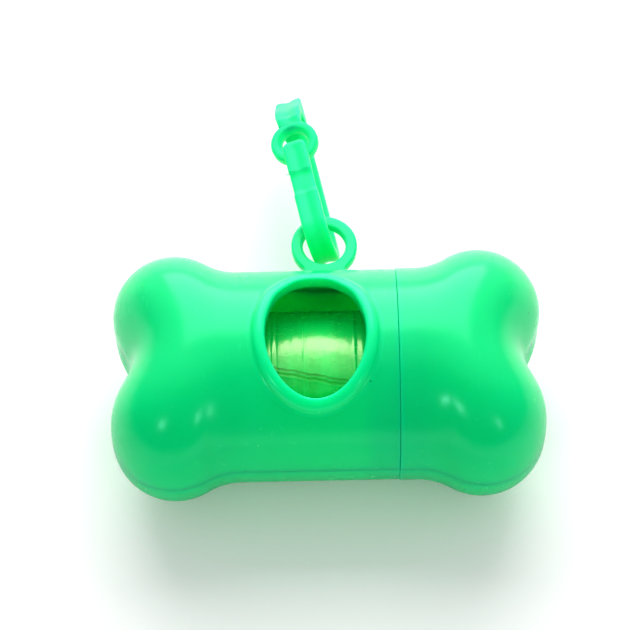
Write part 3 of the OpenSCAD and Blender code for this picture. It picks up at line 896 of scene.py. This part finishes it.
def gate_surface(clip_shape):
    """The gate's stiff bar with its rounded tip, its peg, and a hair of flash at its side."""
    c = clip_shape.c
    s = Surface()
    r = c.tip_r
    bend = np.linspace(0, QUARTER, 9)
    straight = np.linspace(clip_shape.flex_end, c.gate_l - r, 30)[:-1]
    along = np.concatenate([straight, c.gate_l - r + r * np.sin(bend)])
    narrow = np.concatenate([np.zeros(len(straight)), r * (1 - np.cos(bend))])
    inner = np.stack([along, np.full(len(along), c.front_gap)], -1)
    outer = np.stack([along, clip_shape.front - narrow * 0.5], -1)
    bar(s, clip_shape, inner, outer, c.gate_w - 2 * narrow, c.valley_d * ease((c.gate_l - along) / 2.5))
    depth = np.linspace(clip_shape.nose - c.peg_reach, c.front_gap + c.bar_t / 2, 9)[:, None]
    shrink = 0.1 * bell(depth - depth[0], 0.35)
    half, e = c.peg_w / 2 - shrink, 0.3
    ring = []
    for x_way, y_way, quarter in ((1, 1, 0), (-1, 1, 1), (-1, -1, 2), (1, -1, 3)):
        a = np.linspace(quarter, quarter + 1, 5) * QUARTER
        x = x_way * (half - e) + e * np.cos(a)
        y = c.gate_l - c.peg_l / 2 + y_way * (c.peg_l / 2 - e - shrink) + e * np.sin(a)
        ring.append(np.stack(np.broadcast_arrays(x, y, depth), -1))
    # Painted light: the peg is painted partly in the lighter plastic.
    s.rod(s.add(clip_shape.place(np.concatenate(ring, 1)), 0.4))
    root = (-c.gate_w / 2 + 0.1, clip_shape.flex_end + 0.1, c.front_gap + 1.1)
    sliver(s, clip_shape, root, (-0.9, 0.25, 0.1), 0.16)
    return s


def sliver(s, clip_shape, root, reach, thickness):
    """A hair of flash: a thin tapering curl."""
    t = np.linspace(0, 1, 12)[:, None]
    curl = np.concatenate([t, t**2, np.sin(t * 2)], 1) * reach + root
    a = np.linspace(0, TAU, 9)[:-1]
    circle = np.stack([np.zeros(8), np.cos(a), np.sin(a)], -1)
    radius = thickness / 2 * (1 - 0.8 * t**2)
    # Painted light: the sliver is painted fully in the lighter plastic.
    s.rod(s.add(clip_shape.place(curl[:, None] + circle * radius[:, :, None]), 1.0))


def flexure_surface(clip_shape):
    """The thin web on which the gate bends, thicker where it meets the bars."""
    c = clip_shape.c
    s = Surface()
    along = np.linspace(c.flex_start - 0.05, clip_shape.flex_end + 0.05, 37)
    middle = (c.front_gap + clip_shape.front) / 2
    ends = np.minimum(along - along[0], along[-1] - along)
    thick = c.flex_t + (c.bar_t - c.flex_t) * bell(ends, 0.9)
    inner = np.stack([along, middle - thick / 2], -1)
    outer = np.stack([along, middle + thick / 2], -1)
    widths = c.gate_w - 0.12 + (c.width - c.gate_w) * ease(1 - (along - along[0]) / 2)
    bar(s, clip_shape, inner, outer, widths, c.valley_d * bell(ends, 1.2))
    return s


# Materials


class Shader:
    """Short calls for the shader nodes of a material or a world."""

    def __init__(self, owner):
        self.owner = owner
        owner.use_nodes = True
        self.tree = owner.node_tree
        self.tree.nodes.clear()

    def put(self, socket, value):
        """Sets an input to a value, or links it to another node's output."""
        if isinstance(value, bpy.types.NodeSocket):
            self.tree.links.new(value, socket)
        else:
            socket.default_value = value

    def node(self, kind, setup=None, sockets=None, **inputs):
        """Adds a node; inputs go by their names, with _ for a space, or by number in sockets."""
        made = self.tree.nodes.new("ShaderNode" + kind)
        for key, value in (setup or {}).items():
            setattr(made, key, value)
        for key, value in inputs.items():
            self.put(made.inputs[key.replace("_", " ")], value)
        for number, value in (sockets or {}).items():
            self.put(made.inputs[number], value)
        return made

    def place(self, stretch=(1, 1, 1)):
        """Object coordinates, stretched along the axes."""
        spot = self.node("TexCoord").outputs["Object"]
        return self.node("Mapping", Vector=spot, Scale=stretch).outputs["Vector"]

    def noise(self, scale, detail=2.0, rough=0.5, stretch=(1, 1, 1), warp=0.0):
        """Noise on object coordinates, with its scale in turns per metre."""
        return self.node(
            "TexNoise", Vector=self.place(stretch), Scale=scale, Detail=detail, Roughness=rough,
            Distortion=warp,
        ).outputs["Fac"]

    def edge(self):
        """The mesh's painted light mark, kept as its edge attribute: the share of lighter or darker colour.
        """
        return self.node("Attribute", {"attribute_name": "edge"}).outputs["Fac"]

    def math(self, step, a, b=0.0):
        """One step of arithmetic."""
        return self.node("Math", {"operation": step}, {0: a, 1: b}).outputs[0]

    def measure(self, step, a, b=(0.0, 0.0, 0.0)):
        """A number worked out from vectors, such as their distance."""
        return self.node("VectorMath", {"operation": step}, {0: a, 1: b}).outputs["Value"]

    def ramp(self, value, low, high, to_low=0.0, to_high=1.0):
        """Maps low..high to to_low..to_high and stops there."""
        ends = {"From_Min": low, "From_Max": high, "To_Min": to_low, "To_Max": to_high}
        return self.node("MapRange", Value=value, **ends).outputs["Result"]

    def mix(self, factor, a, b):
        """Mixes two colours."""
        return self.node("Mix", {"data_type": "RGBA"}, {0: factor, 6: a, 7: b}).outputs[2]

    def bump(self, height, distance, strength=1.0, under=None):
        """A bump whose height is in metres, on top of another one."""
        made = self.node("Bump", Height=height, Distance=distance, Strength=strength)
        if under is not None:
            self.put(made.inputs["Normal"], under)
        return made.outputs["Normal"]

    def specks(self, scale, size, rarity):
        """Sparse round specks."""
        dots = self.node("TexVoronoi", Vector=self.place(), Scale=scale).outputs["Distance"]
        rare = self.ramp(self.noise(scale * 0.35, 0.0), rarity, rarity + 0.03)
        return self.math("MULTIPLY", self.ramp(dots, size, size * 1.8, 1.0, 0.0), rare)

    def principled(self, **inputs):
        """Finishes the material with a Principled BSDF."""
        return self.finish(self.node("BsdfPrincipled", **inputs).outputs["BSDF"])

    def finish(self, shader, output="OutputMaterial"):
        """Links the shader to the output and returns the material or world."""
        self.put(self.node(output).inputs["Surface"], shader)
        return self.owner


def make_plastic(n, look, lighter, depth, matt):
    """Moulded plastic: soft gloss, light scattered inside, specks, scuffs and a faint orange peel.

    lighter is the share of painted light, the lighter copy of the plastic, where the mesh has no painted
    light mark, depth the reach of the scattered light in metres, and matt is added to the roughness.
    """
    cloud = n.ramp(n.noise(45.0, 3.0), 0.35, 0.7, 0.0, 0.14)
    base = n.mix(cloud, look.plastic, look.plastic_cloud_and_painted_glow)
    # Painted light: where the mesh is marked (edges, seams, the window's cut, the insides) the colour is
    # mixed up to 0.55 towards the lighter copy.
    base = n.mix(n.ramp(n.edge(), 0.0, 1.0, lighter, 0.55), base, look.plastic_cloud_and_painted_glow)
    base = n.mix(n.math("MULTIPLY", n.specks(260.0, 0.035, 0.62), 0.6), base, (0.0, 0.1, 0.05, 1))
    base = n.mix(n.math("MULTIPLY", n.specks(330.0, 0.03, 0.7), 0.3), base, (0.5, 0.95, 0.8, 1))
    sway = n.noise(120.0, 2.0)
    peel = n.noise(1500.0, 2.0)
    scuff = n.ramp(n.noise(600.0, 5.0, 0.7, (1.0, 0.3, 1.0), 0.5), 0.6, 0.74, 0.0, 0.1)
    rough = n.ramp(sway, 0.3, 0.7, look.gloss + matt - 0.04, look.gloss + matt + 0.05)
    rough = n.math("ADD", rough, scuff)
    normal = n.bump(sway, 0.00012, 0.5, n.bump(peel, 0.000012))
    return n.principled(
        Base_Color=base, Roughness=rough, IOR=1.45, Normal=normal, Subsurface_Weight=look.scatter,
        Subsurface_Radius=(0.1, 1.0, 0.75), Subsurface_Scale=depth, Specular_Tint=(0.28, 1.0, 0.85, 1.0),
    )


def make_film(n, look):
    """Thin glossy film, creased and streaked darker round the roll, with painted shade along the outer
    bag's free edge.
    """
    streak = n.noise(300.0, 4.0, 0.6, (1.0, 0.15, 0.15))
    fine = n.noise(700.0, 4.0, 0.65, (0.5, 1.0, 1.0), 1.5)
    base = n.mix(n.ramp(streak, 0.4, 0.8, 0.0, 0.6), look.film, look.film_streak_and_fold_shade)
    # Painted shade: the film darkens along the outer bag's free edge, where the mesh is marked.
    base = n.mix(n.ramp(n.edge(), 0.1, 0.8, 0.0, 0.85), base, look.film_streak_and_fold_shade)
    normal = n.bump(streak, 0.0002, 0.5, n.bump(fine, 0.0001, 0.3))
    return n.principled(
        Base_Color=base, Roughness=n.ramp(fine, 0.3, 0.7, 0.18, 0.3), IOR=1.6, Normal=normal,
        Subsurface_Weight=look.film_scatter, Subsurface_Radius=(0.2, 1.0, 0.3), Subsurface_Scale=0.005,
        Specular_Tint=(1.0, 1.0, 0.6, 1.0), Specular_IOR_Level=1.0,
    )


def make_card(n, look):
    """Spiral-wound card, with fibres and the line of its winding."""
    fibre = n.noise(1600.0, 5.0, 0.7, (0.3, 1.0, 1.0))
    wind = n.node("TexWave", {"bands_direction": "DIAGONAL"}, Vector=n.place(), Scale=24.0)
    base = n.mix(n.ramp(fibre, 0.3, 0.7), look.card, (0.62, 0.48, 0.33, 1))
    base = n.mix(n.ramp(wind.outputs["Fac"], 0.96, 1.0, 0.0, 0.5), base, (0.2, 0.13, 0.08, 1))
    return n.principled(Base_Color=base, Roughness=0.85, Normal=n.bump(fibre, 0.00008))


def seen(n):
    """1 for rays that show the stage: from the camera or through clear material."""
    path = n.node("LightPath").outputs
    return n.math("MINIMUM", n.math("ADD", path["Is Camera Ray"], path["Is Transmission Ray"]), 1.0)


def make_floor(n, stage):
    """White paper, a little lighter to the camera, and plain white far from the object.

    In mirror rays, the paper in front of the object is dimmer, as in its own shadow.
    """
    tone = n.mix(n.ramp(n.noise(25.0, 2.0), 0.3, 0.7), (0.93, 0.93, 0.93, 1), (0.95, 0.95, 0.95, 1))
    near = n.ramp(n.measure("DISTANCE", n.place(), (0.0, -0.05, 0.0)), 0.05, 0.09, 1.0, 0.0)
    dim = n.math("MULTIPLY", n.node("LightPath").outputs["Is Glossy Ray"], near)
    tone = n.mix(dim, tone, (0.4, 0.42, 0.41, 1))
    grain = n.bump(n.noise(900.0, 3.0), 0.00002)
    paper = n.node("BsdfDiffuse", Color=tone, Normal=grain).outputs["BSDF"]
    view = seen(n)
    glow = n.node("Emission", Strength=n.math("MULTIPLY", view, stage.floor_glow)).outputs["Emission"]
    lit = n.node("AddShader", sockets={0: paper, 1: glow}).outputs["Shader"]
    white = n.node("Emission", Strength=1.0).outputs["Emission"]
    far = n.math("MULTIPLY", n.ramp(n.measure("LENGTH", n.place((1, 1, 0))), 0.1, 0.22), view)
    return n.finish(n.node("MixShader", sockets={0: far, 1: lit, 2: white}).outputs["Shader"])


def material(name, maker, *values):
    """The material of that name, made once."""
    return bpy.data.materials.get(name) or maker(Shader(bpy.data.materials.new(name)), *values)


# Operators

# Reach of the light that scatters inside the plastic, in metres.
CASE_DEPTH = 0.005
CLIP_DEPTH = 0.0015


class DISPENSER_OT_shells(bpy.types.Operator):
    """Make the four half shells of body and cap, with the window's lip and the eyelet"""

    bl_idname = "dispenser.shells"
    bl_label = "Case shells"

    def execute(self, context):
        bone, window, eye, look = settings(context, "bone", "window", "eyelet", "look")
        shape = BoneShape(bone)
        plastic = material("case_plastic_look", make_plastic, look, 0.0, CASE_DEPTH, 0.0)
        half_gap = bone.seam_gap / 2
        for front in (True, False):
            side = "front" if front else "rear"
            s = shell_surface(shape, window, 0.0, half_gap - bone.seam_x, front, False)
            place_shell(s, shape, front, False)
            half_eyelet(s, shape, eye, front)
            piece("body_%s_look" % side, s, plastic, "body", "body_%s_shell" % side)
            s = shell_surface(shape, window, bone.cap_proud, bone.seam_x + half_gap, False, True)
            place_shell(s, shape, front, True)
            piece("cap_%s_look" % side, s, plastic, "cap", "cap_%s_shell" % side)
        return {"FINISHED"}


class DISPENSER_OT_inside(bpy.types.Operator):
    """Make the roll of bags, and finish the sleeve and the roll's core"""

    bl_idname = "dispenser.inside"
    bl_label = "Roll and sleeve"

    def execute(self, context):
        bone, roll, look = settings(context, "bone", "roll", "look")
        shape = BoneShape(bone)
        film = material("bag_film_look", make_film, look)
        piece("bag_roll_look", roll_surface(roll, shape), film, "roll", "bag_roll")
        piece("first_bag_look", bag_surface(roll, shape), film, "roll", "first_bag")
        for node, made in (
            ("connector_sleeve", material("sleeve_plastic_look", make_plastic, look, 0.0, CASE_DEPTH, 0.0)),
            ("roll_core", material("core_card_look", make_card, look)),
        ):
            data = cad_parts[node].data
            data.materials.clear()
            data.materials.append(made)
        return {"FINISHED"}


class DISPENSER_OT_clip(bpy.types.Operator):
    """Make the clip: its bent bar with the nose ring, its gate and the web between them"""

    bl_idname = "dispenser.clip"
    bl_label = "Clip"

    def execute(self, context):
        bone, eye, clip, look = settings(context, "bone", "eyelet", "clip", "look")
        shape = ClipShape(clip, BoneShape(bone), eye)
        # Painted light: the clip's plastic is painted 0.3 of the way to the lighter copy all over, and more
        # on its marks.
        plastic = material("clip_plastic_look", make_plastic, look, 0.3, CLIP_DEPTH, 0.2)
        piece("clip_frame_look", frame_surface(shape), plastic, "clip", "clip_frame")
        piece("clip_gate_look", gate_surface(shape), plastic, "gate", "clip_gate")
        surface = flexure_surface(shape)
        web = piece("gate_flexure_look", surface, plastic, None, "gate_flexure")
        middle = (clip.front_gap + shape.front) / 2
        ends = shape.place(np.array([[0, clip.flex_start, middle], [0, shape.flex_end, middle]])) * MM
        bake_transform(web)
        return {"FINISHED"}


def lamp(name, way, distance, size, power, target):
    """An area lamp in a given direction from the object, facing it."""
    data = bpy.data.lights.new(name, "AREA")
    data.shape = "RECTANGLE"
    data.size, data.size_y = size
    data.energy = power
    obj = bpy.data.objects.new(name, data)
    bpy.context.scene.collection.objects.link(obj)
    way = Vector(way).normalized()
    obj.location = target + way * distance
    obj.rotation_euler = way.to_track_quat("Z", "Y").to_euler()


# Directions of the light behind the clip and of the even light's bright side.
BACK = (0.0, 0.78, 0.63)
FILL = (0.6, 0.64, 0.48)
FLOOR_HALF = 1500


class DISPENSER_OT_stage(bpy.types.Operator):
    """Make the floor, the world's light, the lamps and the camera"""

    bl_idname = "dispenser.stage"
    bl_label = "Stage"

    def execute(self, context):
        bone, stage = settings(context, "bone", "stage")
        scene = context.scene
        s = Surface()
        span = np.linspace(-FLOOR_HALF, FLOOR_HALF, 9)
        x, y = np.meshgrid(span, span, indexing="ij")
        s.sheet(s.add(np.stack([x, y, np.zeros_like(x)], -1)))
        floor = bpy.data.objects.new("floor", s.mesh("floor"))
        scene.collection.objects.link(floor)
        floor.data.materials.append(material("floor_paper", make_floor, stage))

        n = Shader(bpy.data.worlds.new("world"))
        way = n.node("TexCoord").outputs["Generated"]
        fill = n.ramp(n.measure("DOT_PRODUCT", way, FILL), -0.7, 0.9, stage.fill_front, stage.fill_back)
        gloss = n.ramp(n.measure("DOT_PRODUCT", way, BACK), 0.3, 0.9, stage.gloss_front, stage.gloss_back)
        glossy = n.node("LightPath").outputs["Is Glossy Ray"]
        strength = n.ramp(seen(n), 0.0, 1.0, n.ramp(glossy, 0.0, 1.0, fill, gloss), 1.0)
        light = n.node("Background", Color=(1, 1, 1, 1), Strength=strength).outputs["Background"]
        scene.world = n.finish(light, "OutputWorld")

        target = Vector((0, 0, BoneShape(bone).axis_z)) * MM
        lamp("back_panel", BACK, 0.6, (0.6, 0.65), stage.back_light, target)
        lamp("strip_right", (0.52, -0.72, 0.45), 0.8, (0.05, 0.16), 0.36, target)
        lamp("panel_left", (-0.47, -0.68, 0.56), 0.8, (0.14, 0.1), 0.6, target)

        tilt = Matrix.Rotation(QUARTER - stage.elevation, 4, "X")
        place = target + tilt @ Vector((stage.aim_right, stage.aim_up, stage.distance)) * MM
        turn = tilt @ Matrix.Rotation(-stage.roll, 4, "Z")
        camera = bpy.data.objects.new("camera", bpy.data.cameras.new("camera"))
        scene.collection.objects.link(camera)
        camera.matrix_world = Matrix.Translation(place) @ turn
        camera.data.sensor_fit = "HORIZONTAL"
        camera.data.sensor_width = stage.sensor
        camera.data.lens = stage.focal / stage.view_w * stage.sensor
        camera.data.clip_start, camera.data.clip_end = 0.01, 10.0
        scene.camera = camera
        scene.view_settings.view_transform = "Standard"
        return {"FINISHED"}


STEPS = (DISPENSER_OT_shells, DISPENSER_OT_inside, DISPENSER_OT_clip, DISPENSER_OT_stage)


class DISPENSER_PT_panel(bpy.types.Panel):
    """The operators and all the settings"""

    bl_idname = "DISPENSER_PT_panel"
    bl_label = "Bag dispenser"
    bl_space_type = "VIEW_3D"
    bl_region_type = "UI"
    bl_category = "Dispenser"

    def draw(self, context):
        for step in STEPS:
            self.layout.operator(step.bl_idname)
        for name, group in GROUPS.items():
            box = self.layout.box()
            box.label(text=name.capitalize())
            for key in group.__annotations__:
                box.prop(getattr(context.scene, "dispenser_" + name), key)


def register():
    """Registers the settings, the operators and the panel."""
    for name, group in GROUPS.items():
        bpy.utils.register_class(group)
        setattr(bpy.types.Scene, "dispenser_" + name, PointerProperty(type=group))
    for step in STEPS + (DISPENSER_PT_panel,):
        bpy.utils.register_class(step)


def unregister():
    """Takes them all out again."""
    for step in STEPS + (DISPENSER_PT_panel,):
        bpy.utils.unregister_class(step)
    for name, group in GROUPS.items():
        delattr(bpy.types.Scene, "dispenser_" + name)
        bpy.utils.unregister_class(group)


def main():
    register()
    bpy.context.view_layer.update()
    bpy.ops.dispenser.shells()
    bpy.ops.dispenser.inside()
    bpy.ops.dispenser.clip()
    bpy.ops.dispenser.stage()


if __name__ == "__main__":
    main()
